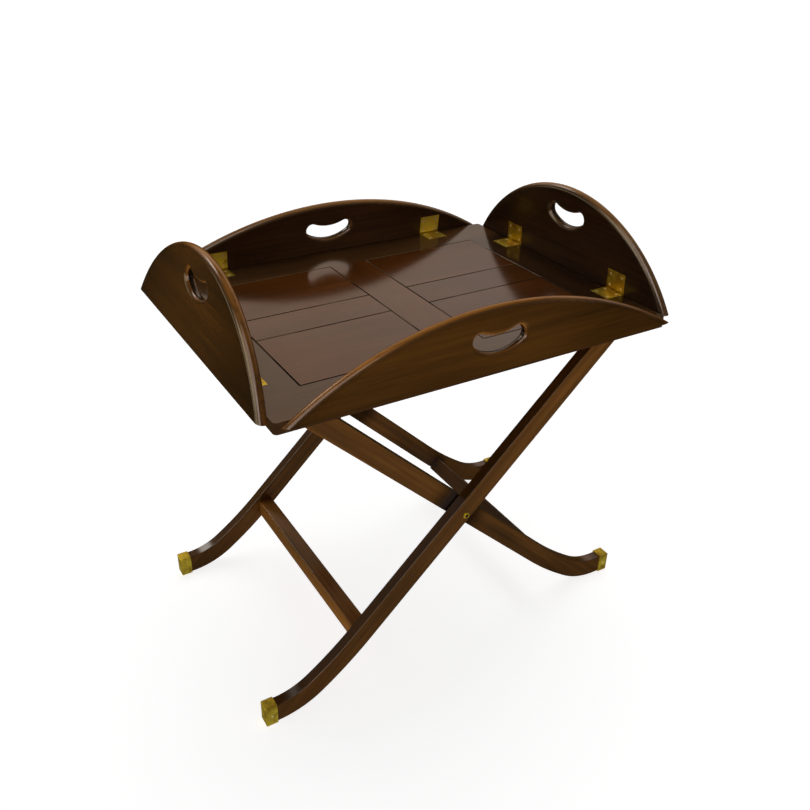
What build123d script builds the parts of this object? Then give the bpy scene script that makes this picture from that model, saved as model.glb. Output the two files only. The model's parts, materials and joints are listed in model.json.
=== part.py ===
from build123d import *
import math
import os

# Folding tray table: a panelled tray with four hinged flaps on a folding cross-legged stand.
# Millimetres. The origin is on the floor under the middle of the tray, X runs along the tray,
# the front flap faces -Y and Z is up.

# Tray base
tray_length = 650.0
tray_width = 500.0
tray_top = 560.0
base_thickness = 17.0
corner_radius = 6.0
rail_width = 71.5
end_stile_width = 68.0
centre_stile_width = 68.0
middle_board_width = 70.0
middle_board_shift = 5.0
groove_side = 1.9

# Flaps
flap_thickness = 16.5
end_flap_height = 139.0
side_flap_height = 91.5
left_lean = 11.3
right_lean = 2.3
front_lean = 8.5
back_lean = 7.2

# Hand holes, measured from a point below the top of the flap
hole_below_top = 51.0
hole_end_offset = 32.0
hole_end_radius = 10.5
hole_end_rise = 6.0
hole_depth_below = 14.0
hole_depth_above = 9.8
hole_rounding = 7.0

# Hinges
leaf_width = 40.0
leaf_depth = 33.0
leaf_thickness = 3.0
leaf_fit = 0.1
axis_out = 3.3
joint_gap = 0.8
pin_radius = 0.8
pin_seat = 0.01
pin_clearance = 0.05
knuckle_length = 14.0
knuckle_gap = 0.3
knuckle_relief = 1.0
end_hinge_spacing = 270.0
side_hinge_spacing = 422.0

# Hinge screws
screw_head_radius = 2.6
screw_head_height = 1.2
screw_radius = 1.3
screw_length = 11.0
screw_fit = 0.05
screw_edge = 7.0
slot_width = 0.7
slot_depth = 0.5

# Stand
pivot_height = 273.0
stand_shift = 1.5
outer_leg_rise = 6.9
inner_leg_rise = 2.3
leg_width = 33.6
leg_thickness = 18.0
leg_rounding = 1.0
stand_half_width = 208.5
leg_gap = 1.4
upper_bend_radius = 620.0
upper_bend_angle = 10.0
foot_bend_radius = 123.0
tray_seat_gap = 0.2

# Bars across the stand
top_rail_width = 32.0
top_rail_height = 22.0
outer_bar_width = 25.0
outer_bar_height = 31.0
outer_bar_along = 251.5
outer_bar_across = -10.5
inner_bar_width = 27.0
inner_bar_depth = 25.0
inner_bar_along = 279.4
inner_bar_across = -5.5
tenon_radius = 6.0
tenon_length = 10.0
tenon_fit = 0.05
outer_tenon_across = -5.5

# Toe caps
cap_wall = 1.6
cap_length = 19.0
nail_radius = 0.9
nail_head_radius = 1.7
nail_head_height = 0.6
nail_length = 7.0
nail_fit = 0.05

# Pivot bolts
bolt_radius = 3.0
bolt_seat = 0.05
bolt_clearance = 0.06
bolt_head_radius = 4.2
bolt_head_height = 1.4
bolt_dimple_radius = 1.7
bolt_dimple_depth = 0.9
washer_radius = 5.2
washer_thickness = 0.8
spacer_radius = 9.0
spacer_clearance = 0.2
nut_radius = 6.0
nut_thickness = 5.0
nut_clearance = 0.3

# Battens under the tray that keep the top rails from spreading
batten_width = 18.0
batten_height = 12.0
batten_length = 320.0
batten_gap = 0.5
batten_inset = 4.6
batten_screw_radius = 2.0
batten_screw_head_radius = 4.0
batten_screw_head_height = 2.0
batten_screw_length = 20.0
batten_screw_spacing = 130.0

os.makedirs("parts", exist_ok=True)


def block(x0, x1, y0, y1, z0, z1):
    """A box between two corners."""
    size = Box(x1 - x0, y1 - y0, z1 - z0)
    return Pos((x0 + x1) / 2, (y0 + y1) / 2, (z0 + z1) / 2) * size


def rod_x(radius, length):
    """A round bar along X with its middle at the origin."""
    return Rot(0, 90, 0) * Cylinder(radius, length)


def rod_y(radius, y0, y1):
    """A round bar along Y between two heights."""
    return Pos(0, (y0 + y1) / 2, 0) * Rot(90, 0, 0) * Cylinder(radius, y1 - y0)


def save(name, solids):
    """Writes one node: a solid, or separate solids that share it."""
    if isinstance(solids, list):
        export_step(Compound(children=[s.solid() for s in solids]), f"parts/{name}.step")
    else:
        export_step(solids.solid(), f"parts/{name}.step")


def screw_at(head_radius, head_height, radius, length, turn):
    """A slotted screw: its head's face is at z = 0 and it points down."""
    head = Pos(0, 0, -head_height / 2) * Cylinder(head_radius, head_height)
    shank = Pos(0, 0, -(head_height + length) / 2) * Cylinder(radius, length - head_height)
    slot = block(-head_radius, head_radius, -slot_width / 2, slot_width / 2, -slot_depth, slot_depth)
    return head + shank - Rot(0, 0, turn) * slot


def screw_room(head_radius, head_height, radius, length):
    """The hole for such a screw: the head seats on its flat floor."""
    head = Pos(0, 0, 0) * Cylinder(head_radius + screw_fit, 2 * head_height)
    shank = Pos(0, 0, -(length + screw_fit) / 2) * Cylinder(radius + screw_fit, length + screw_fit)
    return head + shank


# Tray base: two rails, three stiles and six boards with V grooves along their edges
half_length = tray_length / 2
half_width = tray_width / 2
base_under = tray_top - base_thickness
rail_line = half_width - rail_width
end_line = half_length - end_stile_width
centre_line = centre_stile_width / 2
board_back_line = middle_board_shift + middle_board_width / 2
board_front_line = middle_board_shift - middle_board_width / 2

tray_outline = extrude(
    Pos(0, 0, base_under) * RectangleRounded(tray_length, tray_width, corner_radius), base_thickness
)


def groove_y(x):
    """A V groove along Y."""
    return Pos(x, 0, tray_top) * Rot(0, 45, 0) * Box(groove_side, 2 * rail_line, groove_side)


def groove_x(x0, x1, y):
    """A V groove along X."""
    return Pos((x0 + x1) / 2, y, tray_top) * Rot(45, 0, 0) * Box(x1 - x0, groove_side, groove_side)


groove_rows = [rail_line, board_back_line, board_front_line, -rail_line]
grooves = [groove_y(x) for x in (-end_line, -centre_line, centre_line, end_line)]
grooves += [groove_x(-end_line, -centre_line, y) for y in groove_rows]
grooves += [groove_x(centre_line, end_line, y) for y in groove_rows]


def tray_piece(x0, x1, y0, y1):
    """A piece of the base between two corners, with the grooves along its edges."""
    return (tray_outline & block(x0, x1, y0, y1, base_under, tray_top)) - grooves


tray = {
    "front_rail": tray_piece(-half_length, half_length, -half_width, -rail_line),
    "back_rail": tray_piece(-half_length, half_length, rail_line, half_width),
    "left_stile": tray_piece(-half_length, -end_line, -rail_line, rail_line),
    "right_stile": tray_piece(end_line, half_length, -rail_line, rail_line),
    "centre_stile": tray_piece(-centre_line, centre_line, -rail_line, rail_line),
}
board_rows = {
    "back": (board_back_line, rail_line),
    "middle": (board_front_line, board_back_line),
    "front": (-rail_line, board_front_line),
}
for row, (y0, y1) in board_rows.items():
    tray[f"left_{row}_board"] = tray_piece(-end_line, -centre_line, y0, y1)
    tray[f"right_{row}_board"] = tray_piece(centre_line, end_line, y0, y1)

# Hinges, in the frame of one flap: X along the edge, Y outwards from the base's edge at y = 0,
# Z up from the tray's upper surface at z = 0, with the flap upright.
barrel_radius = leaf_thickness / 2
axis_drop = barrel_radius
flap_inner = axis_out - barrel_radius
flap_bottom = -axis_drop - (axis_out - joint_gap)
barrel_clear = barrel_radius + knuckle_relief
side_knuckle = (leaf_width - knuckle_length) / 2 - knuckle_gap
screw_column = leaf_width / 2 - screw_edge
screw_rows = (screw_edge, leaf_depth - screw_edge)
hinge_axis = Axis((0, axis_out, -axis_drop), (1, 0, 0))
hinge_screw = (screw_head_radius, screw_head_height, screw_radius, screw_length)
middle_room = knuckle_length / 2 + knuckle_gap


def at_axis(shape):
    """Moves a shape from the origin to the hinge axis."""
    return Pos(0, axis_out, -axis_drop) * shape


def base_leaf():
    """The leaf let into the base, with the two outer knuckles."""
    plate = block(-leaf_width / 2, leaf_width / 2, -leaf_depth, axis_out, -leaf_thickness, 0)
    plate -= block(-middle_room, middle_room, axis_out - barrel_clear, axis_out, -leaf_thickness, 0)
    for side in (-1, 1):
        middle = side * (leaf_width - side_knuckle) / 2
        plate += at_axis(Pos(middle, 0, 0) * rod_x(barrel_radius, side_knuckle))
    plate -= at_axis(rod_x(pin_radius + pin_seat, leaf_width))
    for x in (-screw_column, screw_column):
        for row in screw_rows:
            plate -= Pos(x, -row, 0) * screw_room(*hinge_screw)
    return plate


def flap_leaf():
    """The leaf let into the flap, with the middle knuckle."""
    plate = block(
        -leaf_width / 2, leaf_width / 2, flap_inner, flap_inner + leaf_thickness, -axis_drop, leaf_depth
    )
    for side in (-1, 1):
        ends = sorted((side * knuckle_length / 2, side * leaf_width))
        plate -= block(
            *ends, flap_inner, flap_inner + leaf_thickness, -axis_drop, -axis_drop + barrel_clear
        )
    plate += at_axis(rod_x(barrel_radius, knuckle_length))
    plate -= at_axis(rod_x(pin_radius + pin_clearance, leaf_width))
    for x in (-screw_column, screw_column):
        for row in screw_rows:
            plate -= Pos(x, flap_inner, row) * Rot(90, 0, 0) * screw_room(*hinge_screw)
    return plate


def base_screws():
    """The four screws of a base leaf."""
    out = []
    for i, x in enumerate((-screw_column, screw_column)):
        for j, row in enumerate(screw_rows):
            turn = 25 + 55 * i + 80 * j
            out.append(Pos(x, -row, 0) * screw_at(*hinge_screw, turn))
    return out


def flap_screws():
    """The four screws of a flap leaf."""
    out = []
    for i, x in enumerate((-screw_column, screw_column)):
        for j, row in enumerate(screw_rows):
            turn = 70 + 35 * i + 60 * j
            out.append(Pos(x, flap_inner, row) * Rot(90, 0, 0) * screw_at(*hinge_screw, turn))
    return out


def base_pocket():
    """What is cut from the base for one hinge."""
    edge = leaf_width / 2 + leaf_fit
    room = block(-edge, edge, -leaf_depth - leaf_fit, axis_out, -leaf_thickness, leaf_thickness)
    for x in (-screw_column, screw_column):
        for row in screw_rows:
            room += Pos(x, -row, 0) * screw_room(*hinge_screw)
    return room


def flap_pocket():
    """What is cut from the flap for one hinge, with room round the knuckles."""
    edge = leaf_width / 2 + leaf_fit
    floor = flap_inner + leaf_thickness
    room = block(-edge, edge, flap_inner - leaf_thickness, floor, flap_bottom, leaf_depth + leaf_fit)
    room += block(-edge, edge, flap_inner, floor + knuckle_relief / 2, flap_bottom, -axis_drop + barrel_clear)
    for x in (-screw_column, screw_column):
        for row in screw_rows:
            room += Pos(x, flap_inner, row) * Rot(90, 0, 0) * screw_room(*hinge_screw)
    return room


def hand_hole(level):
    """A kidney-shaped opening: a sagging top edge and a fuller bottom edge between two round ends."""
    a, r, k = hole_end_offset, hole_end_radius, hole_end_rise
    low, high = hole_depth_below, hole_depth_above
    low_radius = (a * a + (k + low) ** 2 - r * r) / (2 * (k + low - r))
    low_centre = low_radius - low
    high_radius = (a * a + (high - k) ** 2 - r * r) / (2 * (r - (high - k)))
    high_centre = high + high_radius
    low_way = Vector(a, k - low_centre).normalized()
    high_way = Vector(a, k - high_centre).normalized()
    low_right = Vector(0, low_centre) + low_way * low_radius
    high_right = Vector(0, high_centre) + high_way * high_radius
    end_way = (low_way - high_way).normalized()
    right_tip = Vector(a, k) + end_way * r
    low_left = Vector(-low_right.X, low_right.Y)
    high_left = Vector(-high_right.X, high_right.Y)
    left_tip = Vector(-right_tip.X, right_tip.Y)
    edges = [
        ThreePointArc(low_left, Vector(0, -low), low_right),
        ThreePointArc(low_right, right_tip, high_right),
        ThreePointArc(high_right, Vector(0, high), high_left),
        ThreePointArc(high_left, left_tip, low_left),
    ]
    face = make_face(edges)
    plane = Plane(origin=(0, 0, level), x_dir=(1, 0, 0), z_dir=(0, -1, 0))
    return extrude(plane * face, 2 * flap_thickness, both=True)


def flap_panel(height, half_chord, spacing):
    """A flap upright: a slice of a disc with a half-round rim, a hand hole and two hinge pockets."""
    radius = (half_chord ** 2 + height ** 2) / (2 * height)
    rim = flap_thickness / 2
    profile = Pos((radius - rim) / 2, rim) * Rectangle(radius - rim, flap_thickness)
    profile += Pos(radius - rim, rim) * Circle(rim)
    profile &= Pos(radius / 2, rim) * Rectangle(radius, 2 * flap_thickness)
    disc = revolve(profile, Axis.Y)
    panel = Pos(0, flap_inner, flap_bottom + height - radius) * disc
    outer_side = flap_inner + 2 * flap_thickness
    panel &= block(
        -radius, radius, flap_inner - flap_thickness, outer_side, flap_bottom, flap_bottom + 2 * height
    )
    level = flap_bottom + height - hole_below_top
    panel = (panel.solid() - hand_hole(level)).solid()
    faces = (flap_inner, flap_inner + flap_thickness)
    reach = hole_end_offset + hole_end_radius
    rims = []
    for edge in panel.edges():
        box = edge.bounding_box()
        on_face = box.size.Y < 0.01 and min(abs(box.min.Y - y) for y in faces) < 0.01
        if on_face and box.max.X < reach + 0.1 and box.min.X > -reach - 0.1 and box.min.Z > flap_bottom + 0.1:
            rims.append(edge)
    panel = panel.fillet(hole_rounding, rims)
    for side in (-1, 1):
        panel -= Pos(side * spacing / 2, 0, 0) * flap_pocket()
    return panel


def lean_in(shape, lean):
    """Tips a flap's top inwards about its hinge."""
    return shape.rotate(hinge_axis, lean)


sides = {
    "back": (side_flap_height, half_length - corner_radius, side_hinge_spacing, back_lean, half_width, 0),
    "left": (end_flap_height, half_width - corner_radius, end_hinge_spacing, left_lean, half_length, 90),
    "front": (side_flap_height, half_length - corner_radius, side_hinge_spacing, front_lean, half_width, 180),
    "right": (end_flap_height, half_width - corner_radius, end_hinge_spacing, right_lean, half_length, 270),
}
pockets = []
for side, (height, half_chord, spacing, lean, reach, turn) in sides.items():
    seat = Pos(0, 0, tray_top) * Rot(0, 0, turn) * Pos(0, reach, 0)
    ways = [Pos(s * spacing / 2, 0, 0) for s in (-1, 1)]
    save(f"{side}_flap", seat * lean_in(flap_panel(height, half_chord, spacing), lean))
    save(f"{side}_flap_leaves", [seat * lean_in(w * flap_leaf(), lean) for w in ways])
    save(f"{side}_flap_screws", [seat * lean_in(w * s, lean) for w in ways for s in flap_screws()])
    save(f"{side}_base_leaves", [seat * w * base_leaf() for w in ways])
    save(f"{side}_base_screws", [seat * w * s for w in ways for s in base_screws()])
    pin_length = leaf_width - 2 * knuckle_gap
    save(f"{side}_hinge_pins", [seat * w * at_axis(rod_x(pin_radius, pin_length)) for w in ways])
    pockets += [seat * w * base_pocket() for w in ways]

# Stand, about its pivot: the outer frame's feet are at -X and the inner frame's at +X. The middle lines of
# the legs pass above the pivot. They slope so that the outer frame's top rail lies just inside the right
# batten, which is under the end stile, and the left batten follows the inner frame's top rail.
leg_top = base_under - tray_seat_gap
rail_centre_z = leg_top - top_rail_height / 2
rail_rise = rail_centre_z - pivot_height
rail_to_batten = top_rail_width / 2 + batten_gap + batten_width / 2
right_batten_x = half_length - end_stile_width / 2 - batten_inset
outer_rail_x = right_batten_x - rail_to_batten - stand_shift
slope = math.atan2(rail_rise, outer_rail_x)
slope -= math.asin(outer_leg_rise / math.hypot(outer_rail_x, rail_rise))
leg_angle = math.degrees(slope)
along_x = math.cos(slope)
along_z = math.sin(slope)
inner_rail_x = (rail_rise * along_x - inner_leg_rise) / along_z
left_batten_x = stand_shift - inner_rail_x - rail_to_batten
foot_level = cap_wall + leg_width / 2
foot_turn = math.radians(leg_angle - upper_bend_angle)
bend_drop = upper_bend_radius * (math.cos(foot_turn) - along_x) + foot_bend_radius * (1 - math.cos(foot_turn))
bend_reach = upper_bend_radius * (along_z - math.sin(foot_turn)) + foot_bend_radius * math.sin(foot_turn)


def leg_point(rise, along, across):
    """A point of an inner leg, from the pivot down the leg and up from its middle line."""
    up = rise + across
    return Vector(along * along_x + up * along_z, pivot_height - along * along_z + up * along_x)


def bend_start(rise):
    """The point of a leg's middle line where its bends start."""
    return leg_point(rise, (pivot_height + rise * along_x - foot_level - bend_drop) / along_z, 0)


foot_start = max(bend_start(rise).X for rise in (outer_leg_rise, inner_leg_rise)) + bend_reach
foot_end = foot_start + cap_length - cap_wall


def leg_profile(rise):
    """The outline of an inner leg: straight, then bending outwards in two arcs to a level foot."""
    half = leg_width / 2
    start = bend_start(rise)
    upper = Vector(start.X + upper_bend_radius * along_z, start.Y + upper_bend_radius * along_x)
    mid_way = Vector(-math.sin(foot_turn), -math.cos(foot_turn))
    first_way = Vector(-along_z, -along_x)
    half_turn = (slope + foot_turn) / 2
    mid_first = Vector(-math.sin(half_turn), -math.cos(half_turn))
    lower = upper + mid_way * (upper_bend_radius - foot_bend_radius)
    down = Vector(0, -1)
    half_foot = foot_turn / 2
    mid_second = Vector(-math.sin(half_foot), -math.cos(half_foot))
    reach = 2 * pivot_height
    out = []
    for grow in (half, -half):
        out.append((
            leg_point(rise, -reach, -grow),
            upper + first_way * (upper_bend_radius + grow),
            upper + mid_first * (upper_bend_radius + grow),
            upper + mid_way * (upper_bend_radius + grow),
            lower + mid_second * (foot_bend_radius + grow),
            lower + down * (foot_bend_radius + grow),
            Vector(foot_end, lower.Y - foot_bend_radius - grow),
        ))
    under, over = out
    edges = [
        Line(under[0], under[1]),
        ThreePointArc(under[1], under[2], under[3]),
        ThreePointArc(under[3], under[4], under[5]),
        Line(under[5], under[6]),
        Line(under[6], over[6]),
        Line(over[6], over[5]),
        ThreePointArc(over[5], over[4], over[3]),
        ThreePointArc(over[3], over[2], over[1]),
        Line(over[1], over[0]),
        Line(over[0], under[0]),
    ]
    return make_face(edges)


upright = Plane(origin=(0, 0, 0), x_dir=(1, 0, 0), z_dir=(0, -1, 0))


def leg_blank(rise, y0):
    """An inner leg from y0 to its other face, cut level under the tray, with eased edges."""
    body = extrude(upright * leg_profile(rise), -leg_thickness)
    body = Pos(0, y0, 0) * body
    room = 4 * pivot_height
    body &= block(-room, room, y0 - leg_thickness, y0 + 2 * leg_thickness, 0, leg_top)
    faces = body.faces().filter_by(Axis.Y)
    return fillet(faces.edges(), leg_rounding).solid()


outer_face = stand_half_width
outer_inside = outer_face - leg_thickness
inner_outside = outer_inside - leg_gap
inner_inside = inner_outside - leg_thickness


def mirrored(shape):
    """Turns an inner frame's piece round to the outer frame's side."""
    return shape.mirror(Plane.YZ)


def at_pivot(shape):
    """Moves a round piece along Y to the pivot's height."""
    return Pos(0, 0, pivot_height) * shape


def bar_end(y0, radius, x, z):
    """A round tenon or its mortise along Y, starting at the leg's inner face."""
    return Pos(x, 0, z) * rod_y(radius, y0, y0 + tenon_length)


outer_bar = leg_point(outer_leg_rise, outer_bar_along, outer_bar_across)
outer_tenon = leg_point(outer_leg_rise, outer_bar_along, outer_tenon_across)
inner_bar = leg_point(inner_leg_rise, inner_bar_along, inner_bar_across)
outer_rail = Vector(-outer_rail_x, rail_centre_z)
inner_rail = Vector(-inner_rail_x, rail_centre_z)
moved = Pos(stand_shift, 0, 0)


def both_ends(inside, radius, point, extra):
    """Round tenons or mortises in both legs of a frame."""
    far = inside + tenon_length + extra
    one = Pos(point.X, 0, point.Y) * rod_y(radius, inside - tenon_fit, far)
    return [one, one.mirror(Plane.XZ)]


# Rails and bars are made on the inner frame's side and turned round for the outer frame.
# The top ends lie on the other side of the pivot from the feet.
def top_rail(inside, centre):
    """The bar at the top of a frame that the tray rests on."""
    body = Pos(centre.X, 0, centre.Y) * Box(top_rail_width, 2 * inside, top_rail_height)
    long_edges = body.edges().filter_by(Axis.Y)
    body = fillet(long_edges, leg_rounding)
    for tenon in both_ends(inside, tenon_radius, centre, 0):
        body += tenon
    return body


def level_bar(inside):
    """The outer frame's lower bar, with level faces."""
    body = Pos(outer_bar.X, 0, outer_bar.Y) * Box(outer_bar_width, 2 * inside, outer_bar_height)
    body = fillet(body.edges().filter_by(Axis.Y), leg_rounding)
    for tenon in both_ends(inside, tenon_radius, outer_tenon, 0):
        body += tenon
    return body


def square_bar(inside):
    """The inner frame's lower bar, square to its legs."""
    body = Rot(0, leg_angle, 0) * Box(inner_bar_depth, 2 * inside, inner_bar_width)
    body = fillet(body.edges().filter_by(Axis.Y), leg_rounding)
    body = Pos(inner_bar.X, 0, inner_bar.Y) * body
    for tenon in both_ends(inside, tenon_radius, inner_bar, 0):
        body += tenon
    return body


def cap_foot(y0):
    """The square end of a leg inside its cap."""
    return block(foot_start, foot_end, y0, y0 + leg_thickness, cap_wall, cap_wall + leg_width)


def cap_box(y0):
    """A toe cap round the foot of a leg that starts at y0."""
    outside = (y0 - cap_wall, y0 + leg_thickness + cap_wall)
    shell = block(foot_start, foot_end + cap_wall, *outside, 0, leg_width + 2 * cap_wall)
    edges = shell.edges().filter_by(Axis.X) + shell.faces().sort_by(Axis.X)[-1].edges()
    shell = fillet(edges, cap_wall / 2)
    return shell - cap_foot(y0)


nail_at = Vector((foot_start + foot_end + cap_wall) / 2, foot_level)


def nail(y0, fit):
    """A cap nail whose head lies on the cap's side at y0, pointing to +Y."""
    shank = rod_y(nail_radius + fit, y0, y0 + nail_length + fit)
    if fit == 0:
        shank += rod_y(nail_head_radius, y0 - nail_head_height, y0)
    return Pos(nail_at.X, 0, nail_at.Y) * shank


def frame_pieces(rise, face, inside, bar, hole_radius, rail, bar_point):
    """The front and back legs, bars, caps and nails of one frame, on the inner frame's side."""
    front = leg_blank(rise, -face) + cap_foot(-face)
    cut = [at_pivot(rod_y(hole_radius, -face - leg_gap, -inside + leg_gap))]
    for point in (rail, bar_point):
        cut += [both_ends(inside, tenon_radius + tenon_fit, point, tenon_fit)[1]]
    cut += [nail(-face - cap_wall, nail_fit)]
    front = front.solid() - cut
    cap = cap_box(-face) - nail(-face - cap_wall, nail_fit)
    pin = nail(-face - cap_wall, 0)
    return {
        "front_leg": front,
        "back_leg": front.mirror(Plane.XZ),
        "top_rail": top_rail(inside, rail),
        "lower_bar": bar,
        "toe_caps": [cap, cap.mirror(Plane.XZ)],
        "cap_nails": [pin, pin.mirror(Plane.XZ)],
    }


outer = frame_pieces(
    outer_leg_rise, outer_face, outer_inside, level_bar(outer_inside),
    bolt_radius + bolt_seat, outer_rail, outer_tenon
)
inner = frame_pieces(
    inner_leg_rise, inner_outside, inner_inside, square_bar(inner_inside),
    bolt_radius + bolt_clearance, inner_rail, inner_bar
)
for name, shape in outer.items():
    if isinstance(shape, list):
        save(f"outer_{name}", [moved * mirrored(s) for s in shape])
    else:
        save(f"outer_{name}", moved * mirrored(shape))
for name, shape in inner.items():
    if isinstance(shape, list):
        save(f"inner_{name}", [moved * s for s in shape])
    else:
        save(f"inner_{name}", moved * shape)

# Pivot bolts through both frames, on the front and the back
bolt_tip = -inner_inside + nut_clearance + nut_thickness + 1
bolt = rod_y(bolt_radius, -outer_face - washer_thickness, bolt_tip)
bolt += rod_y(
    bolt_head_radius, -outer_face - washer_thickness - bolt_head_height, -outer_face - washer_thickness
)
bolt -= rod_y(
    bolt_dimple_radius,
    -outer_face - washer_thickness - bolt_head_height,
    -outer_face - washer_thickness - bolt_head_height + bolt_dimple_depth,
)
washer = rod_y(washer_radius, -outer_face - washer_thickness, -outer_face)
washer -= rod_y(bolt_radius + bolt_seat, -outer_face - washer_thickness, -outer_face)
spacer = rod_y(spacer_radius, -outer_inside, -outer_inside + leg_gap - spacer_clearance)
spacer -= rod_y(bolt_radius + bolt_seat, -outer_inside, -outer_inside + leg_gap)
nut_start = -inner_inside + nut_clearance
nut = extrude(upright * RegularPolygon(nut_radius, 6), -nut_thickness)
nut = Pos(0, nut_start, 0) * nut - rod_y(bolt_radius + pin_seat, nut_start, nut_start + nut_thickness)
for name, piece in (
    ("pivot_bolts", bolt), ("pivot_washers", washer), ("pivot_spacers", spacer), ("pivot_nuts", nut)
):
    piece = at_pivot(piece)
    save(name, [moved * piece, moved * piece.mirror(Plane.XZ)])

# Battens, screwed up into the end stiles from below
batten_low = base_under - batten_height
batten_rows = (-batten_screw_spacing, 0, batten_screw_spacing)
batten_screw = (batten_screw_head_radius, batten_screw_head_height, batten_screw_radius, batten_screw_length)
batten_holes = []
batten_pins = []
for x in (left_batten_x, right_batten_x):
    for i, y in enumerate(batten_rows):
        up = Pos(x, y, batten_low) * Rot(180, 0, 0)
        batten_holes.append(up * screw_room(*batten_screw))
        batten_pins.append(up * screw_at(*batten_screw, 40 * i))
for side, x in (("left", left_batten_x), ("right", right_batten_x)):
    edges = (x - batten_width / 2, x + batten_width / 2, -batten_length / 2, batten_length / 2)
    save(f"{side}_batten", block(*edges, batten_low, base_under) - batten_holes)
save("batten_screws", batten_pins)

for name, piece in tray.items():
    save(name, piece - pockets - batten_holes)
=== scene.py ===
import json
import math

import bpy
import numpy as np
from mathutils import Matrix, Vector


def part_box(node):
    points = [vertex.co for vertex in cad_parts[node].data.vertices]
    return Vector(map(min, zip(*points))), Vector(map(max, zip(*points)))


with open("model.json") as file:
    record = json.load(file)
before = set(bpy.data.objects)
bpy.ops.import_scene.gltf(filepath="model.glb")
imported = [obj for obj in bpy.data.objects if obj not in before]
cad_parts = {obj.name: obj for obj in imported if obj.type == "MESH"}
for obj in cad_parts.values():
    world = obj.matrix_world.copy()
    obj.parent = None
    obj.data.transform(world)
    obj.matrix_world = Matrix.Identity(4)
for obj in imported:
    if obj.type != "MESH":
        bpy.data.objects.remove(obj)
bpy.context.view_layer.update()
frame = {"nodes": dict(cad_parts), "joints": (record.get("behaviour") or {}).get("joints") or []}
nodes = frame["nodes"]
joints = {joint["name"]: joint for joint in frame["joints"]}
X, Y, Z = 0, 1, 2

# Directions of the grain, as turns about X, Y and Z in degrees that carry +X onto the grain
LEG_SLOPE = 43.7
ALONG_X = (0, 0, 0)
ALONG_Y = (0, 0, 90)
OUTER_LEG = (0, -LEG_SLOPE, 0)
INNER_LEG = (0, LEG_SLOPE, 0)

# Mahogany colours, in linear light, and the tints that some pieces multiply them by
WOOD_DARK = (0.050, 0.0225, 0.0060)
WOOD_MID = (0.104, 0.0405, 0.0070)
WOOD_LIGHT = (0.175, 0.0680, 0.0095)
# The rims' warm amber is partly wear and partly a painted highlight
WOOD_WORN_AND_LIT = (0.380, 0.140, 0.0180)
GROOVE_DARK = (0.004, 0.003, 0.0015)
# The pale groove edges are partly worn wood and partly a painted highlight
GROOVE_WORN_AND_LIT = (0.16, 0.10, 0.05)
PORE_TINT = (0.35, 0.28, 0.25)
PLAIN = (1.0, 1.0, 1.0)
REDDER = (1.05, 0.80, 0.80)
# A bluish tint for the tray's rails and stiles that stands for a painted reflection
REFLECTED_HAZE = (0.95, 1.08, 2.1)
SHADED = (1.10, 1.35, 3.0)

# Mahogany patterns: pitches are features per metre, along the grain and twice across it where there are
# three, and steps are the two ends of a smooth rise
WOOD_SHIFT = 3
FIGURE_PITCH = (1.5, 17, 17)
STREAK_PITCH = (4, 130, 130)
FIBRE_PITCH = (12, 480, 480)
CLOUD_PITCH = (3, 8, 8)
SMEAR_PITCH = 14.0
RIPPLE_PITCH = 55.0
FIGURE_SHARE = 0.62
STREAK_SHARE = 0.38
DARK_TO_MID = (0.30, 0.55)
MID_TO_LIGHT = (0.48, 0.72)
PORE_STEP = (0.60, 0.70)
PORE_DEPTH = 0.35
CLOUD_STEP = (0.25, 0.75)
CLOUD_LEAST = 0.75
CLOUD_GAIN = 0.5
SPREAD_START = 0.1
SPREAD_DEPTH = 0.6

# Polish: the coat thins and the wood roughens where it is smeared. A bump is its strength and its height.
WOOD_ROUGH = 0.3
SMEAR_ROUGH = 0.2
SMEAR_DULL = 0.2
COAT_IOR = 1.5
PORE_SINK = -0.6
STREAK_RISE = 0.4
GRAIN_BUMP = (0.10, 0.0004)
RIPPLE_BUMP = (0.05, 0.0008)

# Painted shadow where the legs cross, by distance from the pivot line in metres
CROSS_SHADOW_FULL = 0.030
CROSS_SHADOW_END = 0.075
CROSS_SHADOW_DEPTH = 0.8

# Flaps: distances from the panel's mid-plane at which the rim is worn to amber, partly wear and partly a
# painted highlight, and the hand hole is darkened with painted shade, in metres
FLAP_MID = 0.00675
RIM_FACE = 0.0081
RIM_EDGE = 0.0040
RUB_STEP = (0.05, 0.6)
HOLE_LIP = 0.0055
HOLE_DEEP = 0.0020
HOLE_HALF = 0.055
HOLE_SHADE_DEPTH = 0.7
# Heights that part the hand holes from the rims above them, for flaps along X and along Y
HOLE_TOP = {X: 0.628, Y: 0.672}
RIGHT_ANGLE = 90.0

# Grooves of the tray: depths below its top, and how far out they lie, clear of the hinges' seats, in metres
TRAY_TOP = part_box("front_rail")[1].z
GROOVE_REACH = {X: 0.3, Y: 0.2}
LIP_START = 0.00002
LIP_FULL = 0.0001
GROOVE_FULL = 0.0005
GROOVE_WANDER = 0.0005
GROOVE_DULL = 0.85
# Patches of pale, worn groove edges that also carry a painted highlight, more towards the back
PATCH_PITCH = 9.0
PATCH_STEP = (0.46, 0.60)
BACK_STEP = (0.08, 0.17)
BACK_GAIN = 0.2

# Brass colours and patterns
BRASS_LIGHT = (0.94, 0.75, 0.080)
# A pale brass for screws, pins and nails, partly polished brass and partly a painted glint
BRASS_GLINT_BRIGHT = (1.0, 0.86, 0.42)
BRASS_CAP = (0.84, 0.65, 0.060)
# A brighter brass for the flap leaves of the front, back and left hinges: painted light
BRASS_LIT_LEAF = (1.0, 0.82, 0.12)
BRASS_DULL = (0.42, 0.27, 0.028)
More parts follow.
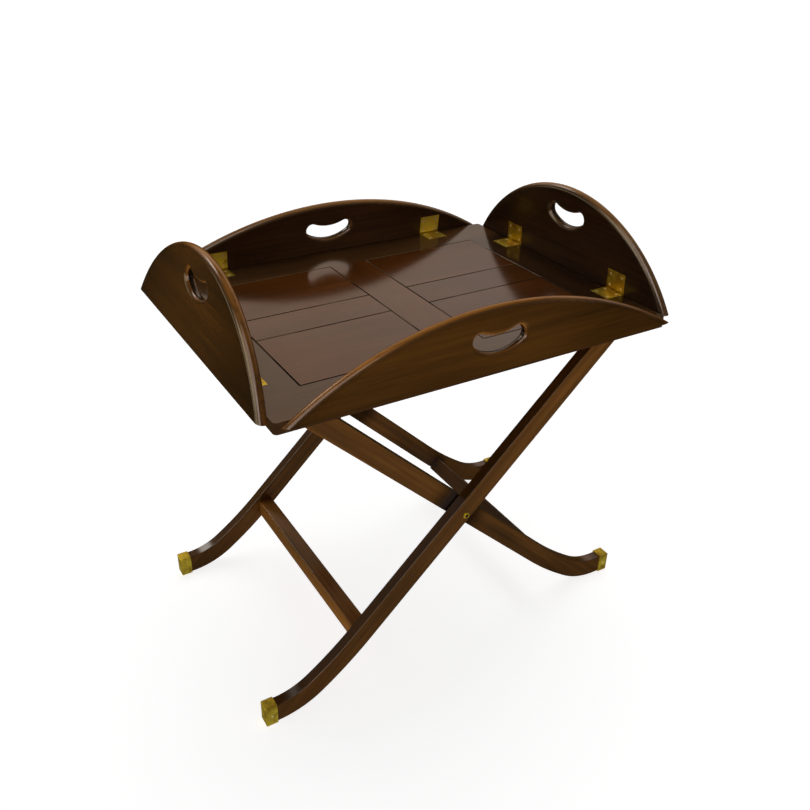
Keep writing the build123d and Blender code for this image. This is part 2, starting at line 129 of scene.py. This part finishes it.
# Dark brass: grime in a hinge's joint, and painted shade in the middle of a pivot
SHADE_AND_GRIME_BRASS = (0.05, 0.03, 0.006)
BRASS_SHEEN = (1.0, 0.72, 0.12, 1.0)
BRASS_TURN = (20, 30, 40)
BRASS_SHIFT = 2
TARNISH_PITCH = 55.0
FINE_PITCH = 420.0
LINES_PITCH = (90, 2400, 2400)
TARNISH_SHARE = 0.75
FINE_SHARE = 0.25
TARNISH_START = 0.55
TARNISH_END = 0.68
DULL_START = 0.3
DULL_END = 0.1
BRASS_ROUGH = 0.18
TARNISH_ROUGH = 0.30
BRASS_BUMP = (0.12, 0.0002)
# Grime between the two leaves of a hinge, by height, and painted shade in the dimple of a pivot, by
# distance
LEAF_JOINT = (TRAY_TOP - 0.004, TRAY_TOP + 0.003)
JOINT_RISE = 0.0006
JOINT_FALL = 0.002
JOINT_GRIME = 0.75
PIVOT_HOLLOW_SHADE = 0.0025
EYE_EDGE = 0.001

# Steel colours and patterns
STEEL_DARK = (0.30, 0.29, 0.27)
STEEL_PALE = (0.46, 0.45, 0.43)
STEEL_CLOUD_PITCH = 90.0
STEEL_FINE_PITCH = 900.0
STEEL_ROUGH = 0.25
CLOUD_ROUGH = 0.25
STEEL_BUMP = (0.15, 0.0002)


class NodeTree:
    """A shader's node tree, with short ways to add and join its nodes and the coordinates that it reads."""

    def __init__(self, tree, coordinates):
        self.tree = tree
        self.place = tree.nodes.new("ShaderNodeTexCoord").outputs[coordinates]

    def add(self, kind, links=None, **settings):
        """One node: settings are its properties, links go to its inputs by name or number."""
        node = self.tree.nodes.new(kind)
        for key, value in settings.items():
            setattr(node, key, value)
        for key, value in (links or {}).items():
            self.join(value, node.inputs[key])
        return node

    def join(self, value, socket):
        """Links an output to an input, or sets the input's own value."""
        if isinstance(value, bpy.types.NodeSocket):
            self.tree.links.new(value, socket)
        else:
            socket.default_value = value

    def math(self, operation, a, b=0.0, c=0.0, clamp=False):
        """One sum of up to three numbers or outputs."""
        links = {0: a, 1: b, 2: c}
        return self.add("ShaderNodeMath", links, operation=operation, use_clamp=clamp).outputs[0]

    def plus(self, a, b):
        return self.math("ADD", a, b)

    def minus(self, a, b, clamp=False):
        return self.math("SUBTRACT", a, b, clamp=clamp)

    def times(self, a, b):
        return self.math("MULTIPLY", a, b)

    def times_plus(self, a, b, c):
        return self.math("MULTIPLY_ADD", a, b, c)

    def size(self, a):
        return self.math("ABSOLUTE", a)

    def below(self, a, b):
        return self.math("LESS_THAN", a, b)

    def darker(self, shade, share, depth):
        """A shade that loses a part of itself, the depth, where the share is 1."""
        return self.times(shade, self.minus(1.0, self.times(share, depth)))

    def ramp(self, value, low, high):
        """0 on the low side and 1 on the high side, smooth between."""
        links = {"Value": value, "From Min": low, "From Max": high}
        return self.add("ShaderNodeMapRange", links, interpolation_type="SMOOTHSTEP").outputs[0]

    def towards(self, way):
        """How far the coordinates reach along one way."""
        links = {0: self.place, 1: way}
        return self.add("ShaderNodeVectorMath", links, operation="DOT_PRODUCT").outputs["Value"]

    def axes(self):
        """The coordinates along X, Y and Z."""
        return self.add("ShaderNodeSeparateXYZ", {0: self.place}).outputs

    def either(self, share, first, second):
        """The first shader where the share is 0 and the second where it is 1."""
        return self.add("ShaderNodeMixShader", {0: share, 1: first, 2: second}).outputs[0]


class Finish(NodeTree):
    """A material with one surface, patterned in the piece's own coordinates."""

    def __init__(self, name):
        self.material = bpy.data.materials.new(name)
        self.material.use_nodes = True
        super().__init__(self.material.node_tree, "Object")
        self.surface = self.tree.nodes["Principled BSDF"]

    def turned(self, turn, seed, reach):
        """Coordinates turned so that X runs along the grain, and shifted at random for this finish."""
        shift = tuple(float(v) for v in np.random.default_rng(seed).uniform(-reach, reach, 3))
        angles = [math.radians(a) for a in turn]
        links = {"Vector": self.place, "Location": shift, "Rotation": angles}
        return self.add("ShaderNodeMapping", links, vector_type="TEXTURE").outputs[0]

    def noise(self, vector, pitch, detail=2.0, rough=0.5, twist=0.0):
        """A soft random field between 0 and 1, with one pitch or its own along each axis."""
        if isinstance(pitch, tuple):
            vector = self.add("ShaderNodeMapping", {"Vector": vector, "Scale": pitch}).outputs[0]
            pitch = 1.0
        links = {"Vector": vector, "Scale": pitch, "Detail": detail}
        links |= {"Roughness": rough, "Distortion": twist}
        return self.add("ShaderNodeTexNoise", links).outputs[0]

    def mix(self, share, a, b, way="MIX"):
        """A blend of two colours by a share."""
        node = self.add("ShaderNodeMix", data_type="RGBA", blend_type=way)
        self.join(share, node.inputs[0])
        for value, socket in ((a, node.inputs[6]), (b, node.inputs[7])):
            self.join((*value, 1.0) if isinstance(value, tuple) else value, socket)
        return node.outputs[2]

    def bump(self, height, strength, distance):
        """A normal from a height field."""
        links = {"Height": height, "Strength": strength, "Distance": distance}
        return self.add("ShaderNodeBump", links).outputs[0]

    def from_pivot(self):
        """The distance from the stand's pivot line, which runs along Y."""
        links = {0: self.place, 1: (1, 0, 1)}
        flat = self.add("ShaderNodeVectorMath", links, operation="MULTIPLY").outputs[0]
        links = {0: flat, 1: tuple(joints["stand_fold"]["pos_m"])}
        return self.add("ShaderNodeVectorMath", links, operation="DISTANCE").outputs["Value"]

    def set(self, **sockets):
        """Values or links for the surface's own sockets, with spaces as underscores."""
        for name, value in sockets.items():
            self.join(value, self.surface.inputs[name.replace("_", " ")])
        return self.material


def mahogany_figure(wood, grain, contrast):
    """The bare wood: broad figure and fine streaks drawn out along the grain step the colour from dark to
    light, and short pores darken it. Gives the colour, the streaks and the pores."""
    figure = wood.noise(grain, FIGURE_PITCH, detail=3.0, rough=0.55, twist=0.5)
    streak = wood.noise(grain, STREAK_PITCH, detail=4.0, rough=0.6)
    depth = wood.plus(wood.times(figure, FIGURE_SHARE), wood.times(streak, STREAK_SHARE))
    depth = wood.times_plus(depth, contrast, 0.5 * (1.0 - contrast))
    colour = wood.mix(wood.ramp(depth, *DARK_TO_MID), WOOD_DARK, WOOD_MID)
    colour = wood.mix(wood.ramp(depth, *MID_TO_LIGHT), colour, WOOD_LIGHT)
    pores = wood.ramp(wood.noise(grain, FIBRE_PITCH), *PORE_STEP)
    sunk = wood.mix(1.0, colour, PORE_TINT, "MULTIPLY")
    return wood.mix(wood.times(pores, PORE_DEPTH), colour, sunk), streak, pores


def mahogany_shade(wood, grain, tone_and_light, spread, cross_shadow):
    """How light the wood is: slow clouds about the piece's lightness, deeper towards the ends of a spread,
    which is an axis, a middle and a half length and on the flaps is painted shade, and darkened by a
    painted shadow where the legs cross."""
    cloud = wood.ramp(wood.noise(grain, CLOUD_PITCH), *CLOUD_STEP)
    shade = wood.times_plus(cloud, CLOUD_GAIN * tone_and_light, CLOUD_LEAST * tone_and_light)
    if spread:
        # On the flaps this darkening towards the ends is painted shade
        axis, middle, half = spread
        away = wood.size(wood.minus(wood.axes()[axis], middle))
        shade = wood.darker(shade, wood.ramp(away, SPREAD_START * half, half), SPREAD_DEPTH)
    if cross_shadow:
        # Painted shadow where the inner legs pass behind the outer legs
        near = wood.ramp(wood.from_pivot(), CROSS_SHADOW_END, CROSS_SHADOW_FULL)
        shade = wood.darker(shade, near, CROSS_SHADOW_DEPTH)
    return shade


def rim_wear_and_highlight(wood, streak, rim, colour, shade):
    """A flap's rounded edges, worn to a warm amber by their distance from the panel's mid-plane, the amber
    partly wear and partly a painted highlight, and painted shade inside its hand hole. Gives the new colour
    and shade."""
    normal, level, length_axis, hole_top = rim
    axes = wood.axes()
    off = wood.size(wood.minus(wood.towards(normal), level))
    # Amber on the rim: partly wear, partly a painted highlight
    worn_and_lit = wood.times(wood.ramp(off, RIM_FACE, RIM_EDGE), wood.ramp(streak, *RUB_STEP))
    near = wood.below(wood.size(axes[length_axis]), HOLE_HALF)
    hole = wood.times(near, wood.below(axes[Z], hole_top))
    # Painted shade darkens the inside of the hand hole
    hole_shade = wood.times(hole, wood.ramp(off, HOLE_LIP, HOLE_DEEP))
    colour = wood.mix(wood.minus(worn_and_lit, hole_shade, clamp=True), colour, WOOD_WORN_AND_LIT)
    return colour, wood.darker(shade, hole_shade, HOLE_SHADE_DEPTH)


def dark_grooves(wood, colour, coat):
    """The tray's grooves, dark and dull by their depth, with edges that are worn pale in patches, and more
    so towards the back, the pale line partly wear and partly a painted highlight. Gives the new colour and
    coat."""
    axes = wood.axes()
    inside = wood.below(wood.size(axes[Y]), GROOVE_REACH[Y])
    within = wood.times(inside, wood.below(wood.size(axes[X]), GROOVE_REACH[X]))
    more = wood.times(wood.ramp(axes[Y], *BACK_STEP), BACK_GAIN)
    patchy = wood.ramp(wood.plus(wood.noise(wood.place, PATCH_PITCH), more), *PATCH_STEP)
    # Pale groove edge: partly wear, partly a painted highlight
    worn_and_lit_edge = wood.times(wood.ramp(axes[Z], TRAY_TOP - LIP_START, TRAY_TOP - LIP_FULL), patchy)
    colour = wood.mix(wood.times(worn_and_lit_edge, within), colour, GROOVE_WORN_AND_LIT)
    deep = wood.plus(axes[Z], wood.times(patchy, GROOVE_WANDER))
    under = wood.times(wood.ramp(deep, TRAY_TOP - LIP_FULL, TRAY_TOP - GROOVE_FULL), within)
    coat = wood.minus(coat, wood.times(under, GROOVE_DULL), clamp=True)
    return wood.mix(under, colour, GROOVE_DARK), coat


def polished_mahogany(name, turn, seed, tone_and_light, coat_rough, tint=PLAIN, contrast=1.0,
                      cross_shadow=False, grooves=False, rim=None, spread=None):
    """French-polished mahogany: the figured wood, shaded and tinted, under a clear coat that is smeared and
    slightly rippled."""
    wood = Finish(name)
    grain = wood.turned(turn, seed, WOOD_SHIFT)
    colour, streak, pores = mahogany_figure(wood, grain, contrast)
    shade = mahogany_shade(wood, grain, tone_and_light, spread, cross_shadow)
    if rim:
        colour, shade = rim_wear_and_highlight(wood, streak, rim, colour, shade)
    grey = wood.add("ShaderNodeCombineColor", {0: shade, 1: shade, 2: shade}).outputs[0]
    colour = wood.mix(1.0, wood.mix(1.0, colour, tint, "MULTIPLY"), grey, "MULTIPLY")
    smear = wood.noise(grain, SMEAR_PITCH, detail=3.0, rough=0.6)
    coat = wood.minus(1.0, wood.times(smear, SMEAR_DULL))
    if grooves:
        colour, coat = dark_grooves(wood, colour, coat)
    height = wood.plus(wood.times(pores, PORE_SINK), wood.times(streak, STREAK_RISE))
    return wood.set(
        Base_Color=colour,
        Roughness=wood.plus(wood.times(smear, SMEAR_ROUGH), WOOD_ROUGH),
        Specular_IOR_Level=0.0,
        Normal=wood.bump(height, *GRAIN_BUMP),
        Coat_Weight=coat,
        Coat_Roughness=coat_rough,
        Coat_IOR=COAT_IOR,
        Coat_Normal=wood.bump(wood.noise(grain, RIPPLE_PITCH), *RIPPLE_BUMP),
    )


def old_brass(name, seed, dull, metal, light=BRASS_LIGHT, joint=None, hollow_shade=False):
    """Yellow brass with fine worn lines, cloudy tarnish and uneven polish. A joint, given as two heights,
    is dark with grime, and the middle of a pivot is painted dark as the shade of a hollow."""
    brass = Finish(name)
    place = brass.turned(BRASS_TURN, seed, BRASS_SHIFT)
    cloud = brass.noise(place, TARNISH_PITCH, detail=4.0, rough=0.6)
    fine = brass.noise(place, FINE_PITCH, detail=3.0, rough=0.6)
    lines = brass.noise(place, LINES_PITCH)
    tarnish = brass.plus(brass.times(cloud, TARNISH_SHARE), brass.times(fine, FINE_SHARE))
    step = (TARNISH_START - DULL_START * dull, TARNISH_END - DULL_END * dull)
    colour = brass.mix(brass.ramp(tarnish, *step), light, BRASS_DULL)
    if joint:
        low, high = joint
        up = brass.axes()[Z]
        grime = brass.times(brass.ramp(up, low, low + JOINT_RISE), brass.ramp(up, high, high - JOINT_FALL))
        colour = brass.mix(brass.times(grime, JOINT_GRIME), colour, SHADE_AND_GRIME_BRASS)
    # Painted shade at the pivot's middle, standing for a hollow
    if hollow_shade:
        near = brass.ramp(brass.from_pivot(), PIVOT_HOLLOW_SHADE + EYE_EDGE, PIVOT_HOLLOW_SHADE)
        colour = brass.mix(near, colour, SHADE_AND_GRIME_BRASS)
    return brass.set(
        Base_Color=colour,
        Metallic=metal,
        Specular_Tint=BRASS_SHEEN,
        Roughness=brass.times_plus(tarnish, TARNISH_ROUGH, BRASS_ROUGH),
        Normal=brass.bump(brass.plus(lines, fine), *BRASS_BUMP),
    )


def grey_steel(name):
    """Plain steel gone grey in clouds, with a fine tooth."""
    steel = Finish(name)
    cloud = steel.noise(steel.place, STEEL_CLOUD_PITCH, detail=3.0)
    fine = steel.noise(steel.place, STEEL_FINE_PITCH, detail=3.0)
    return steel.set(
        Base_Color=steel.mix(cloud, STEEL_DARK, STEEL_PALE),
        Metallic=1.0,
        Roughness=steel.times_plus(cloud, CLOUD_ROUGH, STEEL_ROUGH),
        Normal=steel.bump(fine, *STEEL_BUMP),
    )


def dress(name, material):
    """Gives a CAD node its finish."""
    mesh = nodes[name].data
    mesh.materials.clear()
    mesh.materials.append(material)


# Each wooden piece's grain and lightness. The lightness holds painted light and shade: the right stile is
# darkened as the painted shadow of the right flap, and the legs and the outer lower bar are lightened as
# painted light. The order sets each piece's random shift.
wood_grain = {
    "front_rail": (ALONG_X, 0.70), "back_rail": (ALONG_X, 0.75),
    "left_stile": (ALONG_Y, 0.55), "right_stile": (ALONG_Y, 0.30), "centre_stile": (ALONG_Y, 0.85),
    "left_back_board": (ALONG_X, 0.85), "left_middle_board": (ALONG_X, 0.90),
    "left_front_board": (ALONG_X, 0.90), "right_back_board": (ALONG_X, 0.80),
    "right_middle_board": (ALONG_X, 0.75), "right_front_board": (ALONG_X, 0.85),
    "left_batten": (ALONG_Y, 0.9), "right_batten": (ALONG_Y, 0.9),
    "front_flap": (ALONG_X, 1.4), "back_flap": (ALONG_X, 1.1),
    "left_flap": (ALONG_Y, 1.1), "right_flap": (ALONG_Y, 1.0),
    "outer_front_leg": (OUTER_LEG, 1.65), "outer_back_leg": (OUTER_LEG, 1.4),
    "inner_front_leg": (INNER_LEG, 1.4), "inner_back_leg": (INNER_LEG, 1.25),
    "outer_top_rail": (ALONG_Y, 1.0), "inner_top_rail": (ALONG_Y, 1.0),
    "outer_lower_bar": (ALONG_Y, 2.7), "inner_lower_bar": (ALONG_Y, 1.0),
}
FIRST_SEED = 11
GROOVED = ("rail", "stile", "board")
SHADED_FLAPS = ("back_flap", "right_flap")
WOOD_COAT = 0.17
TRAY_COAT = 0.14
TRAY_CONTRAST = 0.5
FLAP_CONTRAST = 0.8
# Where the colour deepens towards the ends, as an axis, a middle and a half length in metres. On the flaps
# this is painted shade, the light falling off towards their ends; the legs grow darker towards the feet.
LEG_SPREAD = (Z, 0.45, 0.62)
FLAP_END_SHADE = {
    "front_flap": (X, -0.08, 0.310),
    "back_flap": (X, 0.0, 0.325),
    "left_flap": (Y, 0.0, 0.250),
    "right_flap": (Y, 0.0, 0.250),
}


def flap_rim(name):
    """A flap's panel, from its hinge: the normal of its outer face, how far out along that its mid-plane
    lies, the axis of its length and the height above its hand hole. It leans inwards by as much as its
    hinge turns past a right angle."""
    hinge = joints[f"{name}_hinge"]
    place = np.array(hinge["pos_m"])
    lean = math.radians(hinge["range_deg"][1] - RIGHT_ANGLE)
    out = place * (1, 1, 0) / np.hypot(place[X], place[Y])
    normal = math.cos(lean) * out + math.sin(lean) * np.array((0, 0, 1))
    length_axis = FLAP_END_SHADE[name][0]
    return tuple(normal.tolist()), float(normal @ place) + FLAP_MID, length_axis, HOLE_TOP[length_axis]


def wood_look(name):
    """What sets one wooden piece's finish apart."""
    if name.endswith(GROOVED) and "top" not in name:
        # The rails and stiles take the bluish tint of a painted reflection
        tint = REDDER if "board" in name or "centre" in name else REFLECTED_HAZE
        return {"coat_rough": TRAY_COAT, "contrast": TRAY_CONTRAST, "grooves": True, "tint": tint}
    if name.endswith("leg"):
        return {"coat_rough": WOOD_COAT, "spread": LEG_SPREAD, "cross_shadow": name.startswith("inner")}
    if name.endswith("flap"):
        look = {"coat_rough": WOOD_COAT, "contrast": FLAP_CONTRAST, "spread": FLAP_END_SHADE[name]}
        return look | {"rim": flap_rim(name), "tint": SHADED if name in SHADED_FLAPS else PLAIN}
    return {"coat_rough": WOOD_COAT}


for seed, (name, (turn, tone_and_light)) in enumerate(wood_grain.items(), FIRST_SEED):
    dress(name, polished_mahogany(f"mahogany_{name}", turn, seed, tone_and_light, **wood_look(name)))

# The front, back and left flap leaves are a lit copy of the hinge brass, brighter and less metallic:
# painted light
flap_leaf_brass = old_brass(
    "flap_leaf_brass", seed=3, dull=0.1, metal=0.15, light=BRASS_LIT_LEAF, joint=LEAF_JOINT,
)
dull_leaf_brass = old_brass("dull_leaf_brass", seed=6, dull=0.9, metal=0.65, joint=LEAF_JOINT)
base_leaf_brass = old_brass("base_leaf_brass", seed=4, dull=0.9, metal=0.6)
cap_brass = old_brass("cap_brass", seed=5, dull=0.4, metal=0.5, light=BRASS_CAP)
pivot_brass = old_brass("pivot_brass", seed=7, dull=0.3, metal=0.6, hollow_shade=True)
# The screws, pins and nails are pale as their glints: partly a painted highlight
screw_glint_brass = old_brass("screw_glint_brass", seed=8, dull=0.0, metal=0.25, light=BRASS_GLINT_BRIGHT)
plain_steel = grey_steel("plain_steel")
for side in ("front", "back", "left", "right"):
    dress(f"{side}_base_leaves", base_leaf_brass)
    dress(f"{side}_flap_leaves", dull_leaf_brass if side == "right" else flap_leaf_brass)
    for piece in ("base_screws", "flap_screws", "hinge_pins"):
        dress(f"{side}_{piece}", screw_glint_brass)
for pair in ("outer", "inner"):
    dress(f"{pair}_toe_caps", cap_brass)
    dress(f"{pair}_cap_nails", screw_glint_brass)
for name in ("pivot_bolts", "pivot_washers"):
    dress(name, pivot_brass)
for name in ("pivot_spacers", "pivot_nuts", "batten_screws"):
    dress(name, plain_steel)

# The floor is pale paper that shines a little towards the camera, and is clear from below
FLOOR_HALF = 12.0
PAPER_GREY = (0.90, 0.90, 0.90)
PAPER_WHITE = (0.92, 0.92, 0.92)
PAPER_TOOTH = 300.0
PAPER_SHINE = 0.5
BACKDROP = 1.65
corners = FLOOR_HALF * np.array([(-1, -1, 0), (1, -1, 0), (1, 1, 0), (-1, 1, 0)])
floor_mesh = bpy.data.meshes.new("floor")
floor_mesh.from_pydata(corners.tolist(), [], [(0, 1, 2, 3)])
floor = bpy.data.objects.new("floor", floor_mesh)
bpy.context.scene.collection.objects.link(floor)
paper = Finish("pale_floor")
tooth = paper.noise(paper.place, PAPER_TOOTH)
floor_mesh.materials.append(paper.set(
    Base_Color=paper.mix(tooth, PAPER_GREY, PAPER_WHITE),
    Roughness=0.9,
    Specular_IOR_Level=0.1,
))
seen = paper.add("ShaderNodeLightPath").outputs["Is Camera Ray"]
shine = paper.add("ShaderNodeEmission", {"Strength": paper.times(seen, BACKDROP)}).outputs[0]
upper = paper.either(PAPER_SHINE, paper.surface.outputs[0], shine)
from_below = paper.add("ShaderNodeNewGeometry").outputs["Backfacing"]
clear = paper.add("ShaderNodeBsdfTransparent").outputs[0]
paper.join(paper.either(from_below, upper, clear), paper.tree.nodes["Material Output"].inputs["Surface"])
paper.material.cycles.emission_sampling = "NONE"
floor.visible_shadow = False
floor.visible_glossy = False
floor.visible_diffuse = False

# The room has its own brightness for diffuse light, for mirror light and for the camera. Mirrors see a band
# of pale wall, lit on one side and warmer there at one end, a dim ceiling above it, a dim floor below and
# soft lights. Heights are sines of the angle above the horizon.
WHITE = (1.0, 1.0, 1.0)
ROOM_LIGHT = 0.02
FLOOR_GLOW = (0.035, 0.026, 0.013)
WALL_WARM = (1.00, 0.74, 0.56)
WALL_GLOW = (1.00, 0.82, 0.70)
WALL_DIM = (0.26, 0.20, 0.16)
CEILING_GLOW = (0.10, 0.075, 0.05)
WARM_END = (0.28, 0.58)
WALL_FOOT = (0.16, 0.42)
WALL_HEAD = (0.52, 0.70)
WINDOW_FOOT = (-0.06, 0.00)
WINDOW_HEAD = (0.20, 0.10)
# Patches of the room: the way to their middle, and the cosines from it at their outer and inner edges.
# A light also has a colour and a strength.
LIT_WALL = ((0.530, 0.848, 0.0), 0.35, 0.60)
CEILING_LIGHT = ((-0.300, -0.300, 0.905), 0.900, 0.965, (1.0, 0.90, 0.83), 3.0)
FRONT_LIGHT = ((-0.509, -0.579, 0.637), 0.940, 0.985, (1.0, 0.94, 0.90), 5.0)
SIDE_LIGHT = ((-0.831, 0.083, 0.550), 0.900, 0.970, (1.0, 0.85, 0.58), 4.5)
BACK_LIGHT = ((-0.190, 0.753, 0.630), 0.985, 0.996, (1.0, 0.95, 0.88), 6.0)
WINDOW_LIGHT = ((-0.921, 0.390, 0.030), 0.800, 0.880, (1.0, 0.82, 0.50), 2.4)

world = bpy.data.worlds.new("studio")
world.use_nodes = True
bpy.context.scene.world = world
room = NodeTree(world.node_tree, "Generated")


def glow(colour, strength=1.0):
    """A plain background of one colour."""
    return room.add("ShaderNodeBackground", {0: (*colour, 1.0), 1: strength}).outputs[0]


def patch(way, outer, inner):
    """A round patch about one way: 0 outside its outer edge and 1 inside its inner edge."""
    return room.ramp(room.towards(way), outer, inner)


ray = room.add("ShaderNodeLightPath").outputs
sideways, _, height = room.axes()
wall = room.either(room.ramp(sideways, *WARM_END), glow(WALL_WARM), glow(WALL_GLOW))
wall = room.either(patch(*LIT_WALL), glow(WALL_DIM), wall)
mirrored = room.either(room.ramp(height, *WALL_FOOT), glow(FLOOR_GLOW), wall)
mirrored = room.either(room.ramp(height, *WALL_HEAD), mirrored, glow(CEILING_GLOW))
for *spot, colour, strength in (CEILING_LIGHT, FRONT_LIGHT, SIDE_LIGHT, BACK_LIGHT):
    mirrored = room.either(patch(*spot), mirrored, glow(colour, strength))
*spot, colour, strength = WINDOW_LIGHT
pane = room.times(patch(*spot), room.ramp(height, *WINDOW_FOOT))
pane = room.times(pane, room.ramp(height, *WINDOW_HEAD))
mirrored = room.either(pane, mirrored, glow(colour, strength))
light = room.either(ray["Is Glossy Ray"], glow(WHITE, ROOM_LIGHT), mirrored)
light = room.either(ray["Is Camera Ray"], light, glow(WHITE, BACKDROP))
room.join(light, room.tree.nodes["World Output"].inputs["Surface"])

# Broad suns stand in for the studio's soft light: strength, turn and apparent width, in degrees
SUNS = {
    "soft_sky": (1.0, (-20, 15, 0), 50),
    "open_room": (0.55, (0, 0, 0), 110),
    "floor_bounce": (4.7, (180, 0, 0), 130),
}
for name, (strength, turn, width) in SUNS.items():
    sun = bpy.data.objects.new(name, bpy.data.lights.new(name, "SUN"))
    sun.data.energy = strength
    sun.data.angle = math.radians(width)
    sun.rotation_euler = [math.radians(a) for a in turn]
    sun.visible_glossy = False
    bpy.context.scene.collection.objects.link(sun)

# The camera stands where a fit to the photograph puts it
LENS_MM = 38.573
SENSOR_MM = 36.0
SIGHT = 300.0
CAMERA_PLACE = (-0.6542, -1.0855, 1.1053)
CAMERA_TURN = (59.7962, -1.0767, -30.9318)
camera = bpy.data.objects.new("camera", bpy.data.cameras.new("camera"))
camera.data.sensor_width = SENSOR_MM
camera.data.lens = LENS_MM
camera.data.clip_end = SIGHT
camera.location = CAMERA_PLACE
camera.rotation_euler = [math.radians(a) for a in CAMERA_TURN]
bpy.context.scene.collection.objects.link(camera)
bpy.context.scene.camera = camera
bpy.context.scene.view_settings.view_transform = "Standard"
